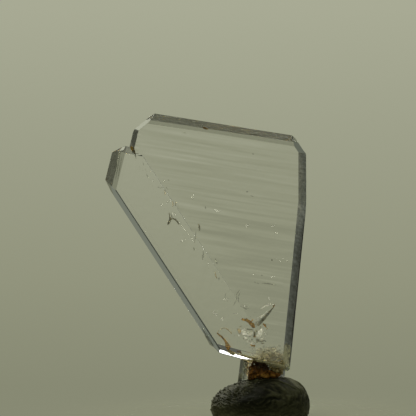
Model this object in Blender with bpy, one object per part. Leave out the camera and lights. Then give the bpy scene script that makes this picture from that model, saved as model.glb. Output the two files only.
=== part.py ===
"""A Japan law twin of quartz standing on its broken stub in a lump of display putty.

Units are millimetres here and metres in Blender, +Z up. The twin is a flat plate: both crystals share the
pair of prism faces that are its front (-Y) and its back (+Y), but for the slight taper of crystal A. Every other growth face comes in a pair, one
leaning to the front and one to the back, that meet in a ridge somewhere in the plate's thickness. A ridge is
given by the direction in which it faces in the plane of the plate, its distance from the point where the twin
began to grow, and how far it lies behind the middle of the plate.
"""

from math import atan, atan2, cos, degrees, pi, radians, sin, sqrt

import bmesh
import bpy
from mathutils import Matrix, Vector

MM = 0.001

# quartz: the ratio of its axes fixes every angle between its faces
AXIAL_RATIO = 1.1001
RHOMB = degrees(atan(AXIAL_RATIO * 2 / sqrt(3)))  # rhombohedral face's normal from the c axis
FLAT_TILT = 90 - RHOMB  # the rhombohedral face above the front, from the plate's plane
SIDE_TILT = degrees(atan2(sqrt(1 - (sin(radians(RHOMB)) / 2) ** 2), sin(radians(RHOMB)) / 2))
SIDE_OUT = degrees(atan2(sin(radians(RHOMB)) * sin(radians(60)), cos(radians(RHOMB))))
PRISM_TILT = 60.0  # the side prism faces, from the plate's plane

# the plate
THICKNESS = 2.2
MIDDLE_Y = -0.5  # middle of the plate, in front of the putty's middle
SEED_X, SEED_Z = 1.59, 5.51  # where the twin began to grow
LEAN = 8.6  # c axis of crystal A, to the right of upright
C_A = LEAN
C_B = LEAN - 2 * (90 - SIDE_OUT)  # mirrored in the twin plane
TWIN_PLANE = LEAN - (90 - SIDE_OUT)

# ridges: direction in degrees from the crystal's own c axis, reach, depth behind the middle, tilt
A_RIDGES = {
    "tip": (0.0, 23.71, -0.30, FLAT_TILT),
    "left corner": (-SIDE_OUT, 27.96, -0.10, SIDE_TILT),
    "right corner": (SIDE_OUT, 14.71, -0.12, SIDE_TILT),
    "left side": (-84.53, 20.09, 0.07, PRISM_TILT),
    "right side, near the tip": (81.18, 3.23, 0.0, PRISM_TILT),
    "right side": (87.05, 1.53, 0.08, PRISM_TILT),
}
B_RIDGES = {
    "tip": (0.0, 21.72, 0.10, FLAT_TILT),
    "upper corner": (SIDE_OUT, 27.20, 0.0, SIDE_TILT),
    "long lower edge": (-SIDE_OUT, 4.47, 0.80, SIDE_TILT),
    "upper side": (86.86, 19.13, -0.20, PRISM_TILT),
}
# crystal A grows thinner towards its tip: lean of its back face along and across its c axis
A_TAPER_UP, A_TAPER_ACROSS = 1.85, 0.5
A_TAPER_FROM = 3.0  # where along the c axis its back is level with that of B
UNDERSIDE = (C_B - 90, 0.08, -0.28, PRISM_TILT)  # prism pair of B along the bottom of the whole plate
TWIN_SHIFT = -0.16  # twin plane from the seed, towards A
TWIN_OVERLAP = 0.6  # B runs this far into A so that the two fuse

# the stub of an older crystal that the twin grew on, set back from the plate
STUB_FRONT, STUB_BACK = 0.02, 1.04  # its flat faces, behind the plate's middle
STUB_RIDGES = {
    "left side": (-91.36, 3.76, 0.97, PRISM_TILT),
    "right side": (86.33, 0.98, 0.90, PRISM_TILT),
}
STUB_TOP = 2.3  # it ends inside the plate, this far above the seed
# its broken lower end: point (x, z) and the direction that each break faces, in and out of the plate's plane
STUB_BREAKS = (
    (-1.5, 1.55, -170.0, 12.0),
    (0.6, 1.35, 176.0, -20.0),
    (2.2, 1.60, 140.0, 8.0),
)

# iron oxide crust on the stub, below the plate: centre, half sizes
CRUST_LUMPS = (
    ((-0.78, -0.84, 4.52), (0.62, 0.56, 0.92)),
    ((0.08, -0.96, 4.86), (0.72, 0.66, 1.10)),
    ((0.95, -0.92, 4.80), (0.70, 0.62, 1.04)),
    ((1.74, -0.90, 4.74), (0.60, 0.60, 0.94)),
    ((2.24, -0.80, 4.56), (0.44, 0.46, 0.76)),
)
CRUST_ROUGH = 0.07  # how far its surface wanders, as a share of a lump's size

# display putty
PUTTY_HALF_X, PUTTY_HALF_Y = 5.08, 5.6
PUTTY_WAIST_Z = 1.45  # its widest level
PUTTY_CROWN = 2.75  # from the waist to the top, in the middle
PUTTY_CROWN_SLOPE = 0.14  # the top rises to the right
PUTTY_CROWN_CURVE = 0.012
PUTTY_BELLY = 4.1  # half height of the flatter ellipse below the waist
PUTTY_SQUARE = 2.25  # 2 is a plain ellipse seen from above, more is squarer
PUTTY_ROUGH = 0.05

GAP = 0.06  # between pieces that touch
LIMIT = 60.0  # larger than the whole object


def in_plane(angle):
    """Direction in the plane of the plate, angle in degrees to the right of upright."""
    return Vector((sin(radians(angle)), 0.0, cos(radians(angle))))


def cut(bm, point, normal):
    """Takes away what lies beyond a plane, and closes the cut."""
    geom = bm.verts[:] + bm.edges[:] + bm.faces[:]
    made = bmesh.ops.bisect_plane(bm, geom=geom, dist=1e-9, plane_co=point, plane_no=normal, clear_outer=True)
    edges = [e for e in made["geom_cut"] if isinstance(e, bmesh.types.BMEdge)]
    if edges:
        bmesh.ops.edgeloop_fill(bm, edges=edges)


def ridge_cuts(bm, c_axis, ridge, grow=0.0):
    """Cuts the two faces that meet in a ridge, both moved outwards by grow."""
    direction, reach, depth, tilt = ridge
    out = in_plane(c_axis + direction)
    on_ridge = Vector((SEED_X, MIDDLE_Y + depth, SEED_Z)) + out * reach
    for side in (-1, 1):
        normal = out * sin(radians(tilt)) + Vector((0, side * cos(radians(tilt)), 0))
        cut(bm, (on_ridge + normal * grow) * MM, normal)


def block(half_y, middle_y=MIDDLE_Y):
    bm = bmesh.new()
    bmesh.ops.create_cube(bm, size=2.0)
    size = Matrix.Diagonal((LIMIT * MM, half_y * MM, LIMIT * MM, 1.0))
    bmesh.ops.transform(bm, matrix=size, verts=bm.verts)
    bmesh.ops.translate(bm, vec=Vector((0, middle_y, 0)) * MM, verts=bm.verts)
    return bm


def crystal_a(grow):
    bm = block(3.0)
    for ridge in A_RIDGES.values():
        ridge_cuts(bm, C_A, ridge, grow)
    across = in_plane(TWIN_PLANE + 90)
    seed = Vector((SEED_X, MIDDLE_Y, SEED_Z))
    cut(bm, (seed + across * TWIN_SHIFT) * MM, -across)
    lean = in_plane(C_A) * sin(radians(A_TAPER_UP)) + in_plane(C_A + 90) * sin(radians(A_TAPER_ACROSS))
    back = (lean + Vector((0, 1, 0))).normalized()
    level = seed + in_plane(C_A) * A_TAPER_FROM + Vector((0, THICKNESS / 2, 0))
    cut(bm, (level + back * grow) * MM, back)
    cut(bm, Vector((0, 0, SEED_Z - 6)) * MM, Vector((0, 0, -1)))
    return bm


def crystal_b(grow):
    bm = block(3.4)
    for ridge in B_RIDGES.values():
        ridge_cuts(bm, C_B, ridge, grow)
    across = in_plane(TWIN_PLANE + 90)
    seed = Vector((SEED_X, MIDDLE_Y, SEED_Z))
    cut(bm, (seed + across * (TWIN_SHIFT + TWIN_OVERLAP)) * MM, across)
    cut(bm, Vector((0, 0, SEED_Z - 5)) * MM, Vector((0, 0, -1)))
    return bm


def plate_limits(grow):
    """The shared front and back prism faces and the underside."""
    bm = block(THICKNESS / 2 + grow)
    ridge_cuts(bm, 0.0, UNDERSIDE, grow)
    return bm


def stub(grow):
    bm = block((STUB_BACK - STUB_FRONT) / 2 + grow, MIDDLE_Y + (STUB_FRONT + STUB_BACK) / 2)
    top = Vector((SEED_X, MIDDLE_Y, SEED_Z)) + in_plane(C_A) * (STUB_TOP + grow)
    cut(bm, top * MM, in_plane(C_A))
    for ridge in STUB_RIDGES.values():
        ridge_cuts(bm, C_A, ridge, grow)
    for x, z, direction, out_of_plane in STUB_BREAKS:
        normal = in_plane(direction) * cos(radians(out_of_plane)) + Vector((0, sin(radians(out_of_plane)), 0))
        cut(bm, (Vector((x, MIDDLE_Y + (STUB_FRONT + STUB_BACK) / 2, z)) + normal * grow) * MM, normal)
    return bm


def rough(p, phase):
    """A smooth, repeatable unevenness between about -1 and 1."""
    return (
        sin(2.3 * p.x + 1.7 * p.z + phase) * 0.45
        + sin(3.1 * p.y - 2.2 * p.x + 2.0 * phase) * 0.35
        + sin(4.7 * p.z + 3.9 * p.y - 1.3 * phase) * 0.20
    )


def crust_lump(index, grow):
    centre, half = CRUST_LUMPS[index]
    bm = bmesh.new()
    bmesh.ops.create_icosphere(bm, subdivisions=3, radius=1.0)
    for v in bm.verts:
        wander = 1 + CRUST_ROUGH * rough(v.co * 1.6, 1.9 * index)
        v.co = Vector(centre[i] + v.co[i] * (half[i] * wander + grow) for i in range(3)) * MM
    return bm


def putty_lump():
    bm = bmesh.new()
    bmesh.ops.create_uvsphere(bm, u_segments=56, v_segments=28, radius=1.0)
    for v in bm.verts:
        x, y, z = v.co
        level = sqrt(max(x * x + y * y, 0.0))
        if level > 1e-6:
            # squarer outline seen from above
            turn = atan2(y, x)
            square = (abs(cos(turn)) ** PUTTY_SQUARE + abs(sin(turn)) ** PUTTY_SQUARE) ** (-1 / PUTTY_SQUARE)
            x, y = x * square, y * square
        wander = 1 + PUTTY_ROUGH * rough(Vector((x, y, z)) * 1.9, 0.4) * (0.3 + 0.7 * min(1.0, abs(y)))
        px, py = PUTTY_HALF_X * x, PUTTY_HALF_Y * y * wander
        crown = PUTTY_CROWN + PUTTY_CROWN_SLOPE * px + PUTTY_CROWN_CURVE * px * px
        pz = PUTTY_WAIST_Z + z * (crown * wander if z > 0 else PUTTY_BELLY)
        v.co = Vector((px, py, pz)) * MM
    cut(bm, Vector((0, 0, 0)), Vector((0, 0, -1)))
    return bm


def clear_scene():
    for ob in list(bpy.data.objects):
        bpy.data.objects.remove(ob, do_unlink=True)


def collection(name):
    made = bpy.data.collections.new(name)
    bpy.context.scene.collection.children.link(made)
    return made


def put(name, bm, where, material=None):
    bmesh.ops.recalc_face_normals(bm, faces=bm.faces)
    mesh = bpy.data.meshes.new(name)
    bm.to_mesh(mesh)
    bm.free()
    ob = bpy.data.objects.new(name, mesh)
    where.objects.link(ob)
    if material:
        mesh.materials.append(material)
    else:
        ob.hide_render = True
        ob.display_type = "WIRE"
    return ob


def boolean(ob, operation, other):
    mod = ob.modifiers.new(f"{operation.lower()} {other.name}", "BOOLEAN")
    mod.operation = operation
    mod.solver = "EXACT"
    mod.object = other


def material(name, color, roughness, **sockets):
    mat = bpy.data.materials.new(name)
    mat.use_nodes = True
    shader = mat.node_tree.nodes["Principled BSDF"]
    shader.inputs["Base Color"].default_value = (*color, 1.0)
    shader.inputs["Roughness"].default_value = roughness
    for socket, value in sockets.items():
        shader.inputs[socket.replace("_", " ")].default_value = value
    return mat


def grow_twin(name, grow, where, cutters, mat=None):
    """The whole twinned crystal with its stub, as one solid, every face moved outwards by grow."""
    tag = "" if mat else " clearance"
    ob = put(name, crystal_a(grow), where, mat)
    boolean(ob, "UNION", put("crystal B" + tag, crystal_b(grow), cutters))
    boolean(ob, "INTERSECT", put("plate limits" + tag, plate_limits(grow), cutters))
    boolean(ob, "UNION", put("stub" + tag, stub(grow), cutters))
    return ob


def main():
    clear_scene()
    parts = collection("japan_law_twin_quartz")
    cutters = collection("cutters")

    quartz = material("quartz", (0.93, 0.95, 0.92), 0.02, Transmission_Weight=1.0, IOR=1.544)
    rust = material("iron oxide", (0.10, 0.035, 0.012), 0.85)
    tack = material("putty", (0.022, 0.026, 0.018), 0.5)

    grow_twin("twin_crystal", 0.0, parts, cutters, quartz)
    clearance = grow_twin("crystal clearance", GAP, cutters, cutters)

    crust = put("iron_oxide_crust", crust_lump(0, 0.0), parts, rust)
    for i in range(1, len(CRUST_LUMPS)):
        boolean(crust, "UNION", put(f"crust lump {i}", crust_lump(i, 0.0), cutters))
    boolean(crust, "DIFFERENCE", clearance)

    putty = put("display_putty", putty_lump(), parts, tack)
    boolean(putty, "DIFFERENCE", put("stub socket", stub(GAP), cutters))
    for i in range(len(CRUST_LUMPS)):
        boolean(putty, "DIFFERENCE", put(f"crust socket {i}", crust_lump(i, GAP), cutters))


main()
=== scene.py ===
"""Looks of a Japan law twin of quartz on its lump of display putty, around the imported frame."""

from math import cos, pi, radians, sin, tan

import bmesh
import bpy
import numpy as np
from mathutils import Matrix, Vector, noise
from mathutils.geometry import delaunay_2d_cdt


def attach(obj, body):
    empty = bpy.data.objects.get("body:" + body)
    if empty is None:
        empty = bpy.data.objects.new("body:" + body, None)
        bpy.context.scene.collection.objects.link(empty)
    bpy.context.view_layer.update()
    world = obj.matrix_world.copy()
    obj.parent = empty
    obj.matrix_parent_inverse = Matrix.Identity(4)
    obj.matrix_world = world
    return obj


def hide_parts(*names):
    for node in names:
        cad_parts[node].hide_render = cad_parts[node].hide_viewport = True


MM = 0.001
scene = bpy.context.scene
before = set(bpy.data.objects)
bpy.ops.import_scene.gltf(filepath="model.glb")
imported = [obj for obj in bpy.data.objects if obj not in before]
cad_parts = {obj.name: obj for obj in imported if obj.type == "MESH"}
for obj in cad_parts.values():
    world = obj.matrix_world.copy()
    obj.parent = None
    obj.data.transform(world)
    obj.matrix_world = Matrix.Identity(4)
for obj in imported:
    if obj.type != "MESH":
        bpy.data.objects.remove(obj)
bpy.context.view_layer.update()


def srgb(r, g, b):
    def lin(c):
        c /= 255.0
        return c / 12.92 if c <= 0.04045 else ((c + 0.055) / 1.055) ** 2.4

    return (lin(r), lin(g), lin(b))


# ---------------------------------------------------------------- camera
PIXEL = 0.1028 * MM  # size of a pixel at the specimen
DISTANCE = 450.0 * MM
AZIMUTH, ELEVATION = radians(8.0), radians(4.0)
ORIGIN_PX = (260.3, 418.5)  # where the middle of the putty's underside falls in the frame
back = Vector((sin(AZIMUTH) * cos(ELEVATION), -cos(AZIMUTH) * cos(ELEVATION), sin(ELEVATION)))
right = Vector((cos(AZIMUTH), sin(AZIMUTH), 0.0))
up = back.cross(right)
camera_data = bpy.data.cameras.new("camera")
camera_data.sensor_width = 36.0
camera_data.lens = 36.0 * DISTANCE / (416 * PIXEL)
camera_data.clip_start, camera_data.clip_end = 0.01, 10.0
camera = bpy.data.objects.new("camera", camera_data)
scene.collection.objects.link(camera)
aim = right * (-(ORIGIN_PX[0] - 208) * PIXEL) + up * ((ORIGIN_PX[1] - 208) * PIXEL)
EYE = aim + back * DISTANCE
camera.matrix_world = Matrix.Translation(EYE) @ Matrix((right, up, back)).transposed().to_4x4()
scene.camera = camera

FRONT_Y, BACK_Y = -1.6, 0.6  # faces of the plate, mm
IOR = 1.544


def spot(px, py, y, in_glass=True):
    """Point in mm, at depth y, that shows at a place in the frame; light bends at the plate's front face."""
    ray = right * ((px - 208) * PIXEL) + up * ((208 - py) * PIXEL) - back * DISTANCE
    ray.normalize()
    first = FRONT_Y if in_glass else y
    p = EYE / MM
    p = p + ray * ((first - p.y) / ray.y)
    if in_glass and y > FRONT_Y:
        bent = Vector((ray.x / IOR, 0.0, ray.z / IOR))
        bent.y = (1 - bent.x**2 - bent.z**2) ** 0.5
        p = p + bent * ((y - first) / bent.y)
    return p


# ---------------------------------------------------------------- nodes
class Nodes:
    """A small helper to write a node tree in lines of code."""

    def __init__(self, tree):
        self.tree = tree
        self.tree.nodes.clear()

    def add(self, kind, inputs=None, **settings):
        node = self.tree.nodes.new(kind)
        for key, value in settings.items():
            setattr(node, key, value)
        for key, value in (inputs or {}).items():
            socket = node.inputs[key]
            if isinstance(value, bpy.types.NodeSocket):
                self.tree.links.new(value, socket)
            else:
                socket.default_value = value
        return node

    def math(self, operation, a, b=0.0, c=0.0, clamp=False):
        return self.add("ShaderNodeMath", {0: a, 1: b, 2: c}, operation=operation, use_clamp=clamp).outputs[0]

    def ramp(self, factor, stops, interpolation="LINEAR"):
        node = self.add("ShaderNodeValToRGB", {0: factor})
        node.color_ramp.interpolation = interpolation
        elements = node.color_ramp.elements
        while len(elements) < len(stops):
            elements.new(0.5)
        for element, (position, color) in zip(elements, stops):
            element.position = position
            element.color = (*color, 1.0)
        return node.outputs[0]

    def grey_ramp(self, factor, stops, interpolation="LINEAR"):
        return self.ramp(factor, [(p, (v, v, v)) for p, v in stops], interpolation)

    def span(self, value, low, high, to_low=0.0, to_high=1.0, smooth=False):
        node = self.add(
            "ShaderNodeMapRange",
            {0: value, 1: low, 2: high, 3: to_low, 4: to_high},
            interpolation_type="SMOOTHSTEP" if smooth else "LINEAR",
        )
        return node.outputs[0]

    def mix(self, factor, a, b, blend="MIX"):
        return self.add("ShaderNodeMix", {0: factor, 6: a, 7: b}, data_type="RGBA", blend_type=blend).outputs[2]

    def noise(self, scale, detail=3.0, rough=0.55, vector=None, distortion=0.0):
        inputs = {"Scale": scale, "Detail": detail, "Roughness": rough, "Distortion": distortion}
        if vector is not None:
            inputs["Vector"] = vector
        return self.add("ShaderNodeTexNoise", inputs).outputs[0]

    def place(self):
        return self.add("ShaderNodeTexCoord").outputs["Object"]


def new_material(name):
    mat = bpy.data.materials.new(name)
    mat.use_nodes = True
    return mat, Nodes(mat.node_tree)


# ---------------------------------------------------------------- surroundings
def make_world():
    world = bpy.data.worlds.new("studio")
    scene.world = world
    world.use_nodes = True
    n = Nodes(world.node_tree)
    direction = n.add("ShaderNodeTexCoord").outputs["Generated"]
    xyz = n.add("ShaderNodeSeparateXYZ", {0: direction})
    elevation = n.math("MULTIPLY", n.math("ARCSINE", xyz.outputs[2]), 180 / pi)
    azimuth = n.math("MULTIPLY", n.math("ARCTAN2", xyz.outputs[0], xyz.outputs[1]), 180 / pi)
    # pale sweep, lighter towards its top
    t = n.span(elevation, -90.0, 90.0)

    def at(e):
        return (e + 90) / 180

    sweep = n.ramp(
        t,
        [
            (at(-90), srgb(128, 130, 110)),
            (at(-12), srgb(134, 136, 114)),
            (at(-6.2), srgb(136, 138, 116)),
            (at(-5.0), srgb(146, 148, 125)),
            (at(-3.0), srgb(158, 160, 138)),
            (at(-1.3), srgb(169, 171, 149)),
            (at(8), srgb(184, 186, 166)),
            (at(24), srgb(150, 154, 142)),
            (at(42), srgb(112, 114, 106)),
            (at(90), srgb(96, 98, 90)),
        ],
    )
    # brightest behind the specimen, falling off to both sides
    off = n.math("WRAP", n.math("ADD", azimuth, 8.0), 180.0, -180.0)
    u = n.span(off, -180.0, 180.0)

    def to(a):
        return (a + 180) / 360

    sky = n.grey_ramp(
        u,
        [(to(-180), 0.75), (to(-85), 0.55), (to(-62), 0.24), (to(-54), 0.13), (to(-49), 0.13), (to(-45), 0.18), (to(-40), 0.30), (to(-34), 0.48), (to(-24), 0.92), (to(0), 1.0), (to(15), 0.97), (to(23), 0.83), (to(38), 0.25), (to(58), 0.25), (to(95), 0.6), (to(180), 0.75)],
    )
    table = n.grey_ramp(
        u,
        [(to(-180), 0.75), (to(-60), 0.5), (to(-45), 0.52), (to(-15), 0.74), (to(-6), 0.97), (to(20), 0.97), (to(50), 0.7), (to(82), 0.42), (to(180), 0.75)],
    )
    low = n.span(elevation, -22.0, -17.0, 1.0, 0.0, smooth=True)
    color = n.mix(1.0, sweep, n.mix(low, sky, table), "MULTIPLY")
    # cool light wall up to the right
    lobe_axis = Vector((sin(radians(41)) * cos(radians(26)), cos(radians(41)) * cos(radians(26)), sin(radians(26))))
    lobe = n.add("ShaderNodeVectorMath", {0: direction, 1: lobe_axis}, operation="DOT_PRODUCT").outputs["Value"]
    lobe = n.span(lobe, cos(radians(24)), cos(radians(8)), smooth=True)
    color = n.mix(lobe, color, (*srgb(111, 117, 107), 1))
    # the dark wall to the left is a little cooler
    cool = n.math("MULTIPLY", n.span(off, -58.0, -50.0, smooth=True), n.span(off, -34.0, -42.0, smooth=True))
    color = n.mix(1.0, color, n.mix(cool, (1, 1, 1, 1), (0.94, 1.0, 1.10, 1)), "MULTIPLY")
    # pool of light on the table, right of the specimen
    pool_axis = Vector((sin(radians(30)) * cos(radians(47)), cos(radians(30)) * cos(radians(47)), -sin(radians(47))))
    pool = n.add("ShaderNodeVectorMath", {0: direction, 1: pool_axis}, operation="DOT_PRODUCT").outputs["Value"]
    pool = n.span(pool, cos(radians(26)), cos(radians(6)), smooth=True)
    color = n.mix(pool, color, (*srgb(186, 188, 166), 1))
    bg = n.add("ShaderNodeBackground", {0: color, 1: 1.0}).outputs[0]
    n.add("ShaderNodeOutputWorld", {0: bg})


def area_light(name, place, target, size, power, color=(1, 1, 1), size_y=None):
    data = bpy.data.lights.new(name, "AREA")
    data.shape = "RECTANGLE"
    data.size, data.size_y = size, size_y or size
    data.energy = power
    data.color = color
    ob = bpy.data.objects.new(name, data)
    scene.collection.objects.link(ob)
    place, target = Vector(place), Vector(target)
    ob.location = place
    ob.rotation_euler = (place - target).to_track_quat("Z", "Y").to_euler()
    return ob


make_world()
area_light("window", (0.09, 0.40, 0.36), (0, 0, 0.01), 0.16, 0.25, size_y=0.12)
area_light("key", (-0.22, 0.34, 0.40), (0, 0, 0.01), 0.15, 4.2, color=(1.0, 0.99, 0.88))
area_light("ceiling", (-0.12, -0.10, 0.50), (0, 0, 0.005), 0.22, 0.5, color=(1.0, 1.0, 0.86))


# ---------------------------------------------------------------- the crystal
SEED = Vector((1.59, -0.5, 5.51))
C_A, C_B, TWIN_PLANE = 8.6, -75.94, -33.67


def in_plane(angle):
    return Vector((sin(radians(angle)), 0.0, cos(radians(angle))))


AXIS_A, AXIS_B = in_plane(C_A), in_plane(C_B)
SIDE_A, SIDE_B = in_plane(C_A + 90), in_plane(C_B + 90)
ACROSS = in_plane(TWIN_PLANE + 90)
A_FRONT, A_BACK, A_SIDE, A_TIP, B_FRONT, B_BACK, B_SIDE, B_TIP, OTHER, EDGE = range(1, 11)
CLEAR, WORN, ETCHED, STAINED, GROUND_PAINTED_SHADE, GROWN = range(6)  # material slots of the crystal


def strips(rng, count, low, high, u_low, u_high, width, height, length):
    """Growth lines: place and half width across, height, middle and half length along."""
    return np.stack(
        [
            rng.uniform(low, high, count),
            rng.uniform(*width, count),
            rng.uniform(*height, count) * rng.choice([-1, 1], count),
            rng.uniform(u_low, u_high, count),
            rng.uniform(*length, count),
        ],
        1,
    )


def relief(lines, s, u, stepped=False):
    """Height in mm of a set of growth lines at places (s, u)."""
    total = np.zeros_like(s)
    for place, width, height, middle, length in lines:
        x = (s - place) / width
        shape = 0.5 * (1 + np.tanh(x)) - 0.5 * (1 + np.tanh((x * width - 1.6) / 0.8)) if stepped else np.exp(-x * x)
        total += height * shape * np.exp(-(((u - middle) / length) ** 4))
    return total


def slice_faces(bm, layer, tags, direction, offsets):
    """Cuts the tagged faces by parallel planes, from the lowest to the highest."""
    active = [f for f in bm.faces if f[layer] in tags]
    for d in sorted(offsets):
        if not active:
            return
        verts = {v for f in active for v in f.verts}
        edges = {e for f in active for e in f.edges}
        made = bmesh.ops.bisect_plane(
            bm, geom=active + list(edges) + list(verts), dist=1e-8, plane_co=direction * (d * MM), plane_no=direction
        )
        active = [
            g
            for g in made["geom"]
            if isinstance(g, bmesh.types.BMFace)
            and g[layer] in tags
            and max(v.co.dot(direction) for v in g.verts) > d * MM + 1e-7
        ]


def wear_edges(bm):
    """Breaks the sharp edges by a few hundredths of a millimetre."""
    for offset, lower in ((0.08, True), (0.022, False)):
        chosen = []
        for e in bm.edges:
            if len(e.link_faces) != 2 or not e.is_convex or e.calc_face_angle(0) < radians(15):
                continue
            if any(f.material_index in (WORN, GROUND_PAINTED_SHADE) for f in e.link_faces) or e.calc_length() < 0.3 * MM:
                continue
            # not the low step behind the twin plane, nor the tight corner where the tips meet
            if any(abs(f.normal.dot(ACROSS)) > 0.98 and abs(f.normal.y) < 0.1 for f in e.link_faces):
                continue
            if any((v.co / MM - spot(132, 150, -0.5)).xz.length < 1.9 for v in e.verts):
                continue
            # nor the long edges of the foot
            if any(abs(f.normal.y) > 0.99 for f in e.link_faces) and any(f.normal.z < -0.7 for f in e.link_faces):
                continue
            long_lower = sum(f.normal.dot(in_plane(C_B - 47.7)) > 0.5 for f in e.link_faces) and e.calc_length() > 8 * MM
            if bool(long_lower) == lower:
                chosen.append(e)
        bmesh.ops.bevel(
            bm, geom=chosen, offset=offset * MM, offset_type="OFFSET", segments=1, profile=0.5, affect="EDGES", clamp_overlap=False, material=GROUND_PAINTED_SHADE if lower else WORN
        )


def twin_mesh():
    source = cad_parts["twin_crystal"]
    bm = bmesh.new()
    bm.from_mesh(source.data)
    bm.transform(source.matrix_world)
    bmesh.ops.remove_doubles(bm, verts=bm.verts, dist=2e-6)
    bmesh.ops.dissolve_limit(bm, angle_limit=radians(0.25), verts=bm.verts, edges=bm.edges)
    wear_edges(bm)
    layer = bm.faces.layers.int.new("facet")
    # the front face is shared: part it along the twin plane
    front = [f for f in bm.faces if f.normal.y < -0.999 and f.calc_area() > 5e-5]
    geom = front + list({e for f in front for e in f.edges}) + list({v for f in front for v in f.verts})
    bmesh.ops.bisect_plane(bm, geom=geom, dist=1e-8, plane_co=(SEED + ACROSS * 0.44) * MM, plane_no=ACROSS)
    for f in bm.faces:
        if f.material_index in (WORN, GROUND_PAINTED_SHADE):
            f[layer] = EDGE
            continue
        c = f.calc_center_median() / MM - SEED
        a = c.dot(ACROSS) > 0.43
        tall = f.calc_area() > 1.2e-5
        if f.normal.y < -0.99 and tall:
            f[layer] = A_FRONT if a else B_FRONT
        elif f.normal.y > 0.99 and tall:
            f[layer] = A_BACK if a else B_BACK
        elif c.z < -0.3:
            f[layer] = OTHER
        elif (f.normal.dot(AXIS_A) > 0.55 and a) or (f.normal.dot(AXIS_B) > 0.55 and not a):
            f[layer] = A_TIP if a else B_TIP
        else:
            f[layer] = A_SIDE if a else B_SIDE
    rng = np.random.default_rng(11)
    rows = np.cumsum(rng.uniform(0.04, 0.085, 500)) + (SEED.dot(AXIS_A) - 3)
    slice_faces(bm, layer, {A_FRONT, A_BACK, A_SIDE}, AXIS_A, rows)
    slice_faces(bm, layer, {A_FRONT, A_BACK}, SIDE_A, np.cumsum(rng.uniform(0.6, 1.3, 22)) + (SEED.dot(SIDE_A) - 19))
    slice_faces(bm, layer, {A_SIDE}, Vector((0, 1, 0)), [-1.38, -1.15, -0.95, -0.7, -0.3, 0.0, 0.3])
    rows = np.cumsum(rng.uniform(0.14, 0.34, 100)) + (SEED.dot(AXIS_B) - 2)
    slice_faces(bm, layer, {B_FRONT, B_BACK, B_SIDE}, AXIS_B, rows)
    slice_faces(bm, layer, {B_FRONT, B_BACK}, SIDE_B, np.cumsum(rng.uniform(0.7, 1.6, 20)) + (SEED.dot(SIDE_B) - 21))
    # the ridges of the tips aren't quite straight
    slice_faces(bm, layer, {A_TIP}, SIDE_A, np.cumsum(rng.uniform(0.25, 0.6, 46)) + (SEED.dot(SIDE_A) - 18))
    slice_faces(bm, layer, {B_TIP}, SIDE_B, np.cumsum(rng.uniform(0.3, 0.6, 14)) + (SEED.dot(SIDE_B) - 22))

    bm.verts.ensure_lookup_table()
    co = np.array([v.co for v in bm.verts]) / MM
    rel = co - np.array(SEED)
    sa, ua = rel @ np.array(AXIS_A), rel @ np.array(SIDE_A)
    sb, ub = rel @ np.array(AXIS_B), rel @ np.array(SIDE_B)
    kinds = [{f[layer] for f in v.link_faces} for v in bm.verts]
    move = np.zeros_like(co)

    def chosen(tag):
        return np.array([i for i, k in enumerate(kinds) if tag in k])

    # the foot facet sits a hair lower
    for k, v in enumerate(bm.verts):
        if kinds[k] & {B_SIDE, EDGE} and any(f.normal.z < -0.5 for f in v.link_faces) and rel[k, 2] < 3.6 and co[k, 0] > -5.6:
            move[k, 2] -= 0.10
    # the worn left shoulder of the stub
    low = (rel[:, 2] < -0.05) & (co[:, 0] < -1.0) & (co[:, 0] > -2.0) & (np.abs(co[:, 1] + 0.48) < 0.02)
    move[low, 0] += 0.24
    # crystal A: striated across its c axis, front and back
    for tag, side, seed in ((A_FRONT, -1, 5), (A_BACK, 1, 6)):
        r = np.random.default_rng(seed)
        i = chosen(tag)
        fine = strips(r, 230, -1, 24.5, -18, 3, (0.07, 0.18), (0.0008, 0.0027), (0.8, 4.0))
        broad = strips(r, 60, -1, 24.5, -18, 3, (0.25, 0.5), (0.0015, 0.0045), (2.5, 9.0))
        h = relief(fine, sa[i], ua[i]) + relief(broad, sa[i], ua[i])
        if side < 0:
            h += relief(STREAKS, sa[i], ua[i], stepped=True)
        h *= np.clip(((rel[i] @ np.array(ACROSS)) - 0.44) / 0.5, 0, 1)
        move[i, 1] += side * h
    # the taper of A sets in gently behind the twin plane
    i = chosen(A_BACK)
    d = (rel[i] @ np.array(ACROSS)) - 0.44
    t = np.clip(d / 3.0, 0, 1)
    move[i, 1] += np.where(d < 3.0, 0.0218 * (d - 3.0 * (t**3 - t**4 / 2) - 1.5), 0.0)
    # crystal B: smoother
    for tag, side, seed in ((B_FRONT, -1, 15), (B_BACK, 1, 16)):
        r = np.random.default_rng(seed)
        i = chosen(tag)
        fine = strips(r, 40, -1, 22, -18, 3, (0.2, 0.5), (0.0004, 0.0018), (1.5, 7.0))
        move[i, 1] += side * relief(fine, sb[i], ub[i]) * np.clip((0.44 - rel[i] @ np.array(ACROSS)) / 0.5, 0, 1)
    # side faces: stepped growth, uneven to the touch
    normals = {}
    for tag, axis, amount in ((A_SIDE, sa, 0.021), (B_SIDE, sb, 0.0016)):
        i = chosen(tag)
        for k in i:
            v = bm.verts[int(k)]
            n = sum((f.normal for f in v.link_faces if f[layer] == tag), Vector())
            if n.length < 1e-6:
                continue
            n.normalize()
            p = v.co / MM
            wob = noise.noise(Vector((p.x * 1.1, p.y * 2.6, p.z * 2.4))) + 0.6 * noise.noise(Vector((p.x * 3, p.y * 5.0, p.z * 6.5 + 9)))
            wob += 0.35 * noise.noise(Vector((p.x * 5, p.y * 9.0, p.z * 15))) * (1.0 if tag == A_SIDE else 0.0)
            move[k] += np.array(n) * amount * wob
            if tag == A_SIDE and p.x > 0:
                t = (p.y + 0.42) / (-1.18 if p.y < -0.42 else 1.02)
                low = 1 / (1 + np.exp((p.z - 20.0) / 0.6))
                foot = 1 / (1 + np.exp((p.z - 7.2) / 0.35))
                if 0 <= t <= 1:
                    move[k] += np.array(n) * (0.088 * t * (1 - t) + (0.05 - 0.14 * low + 0.1 * foot) * (1 - t) - 0.02)
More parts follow.
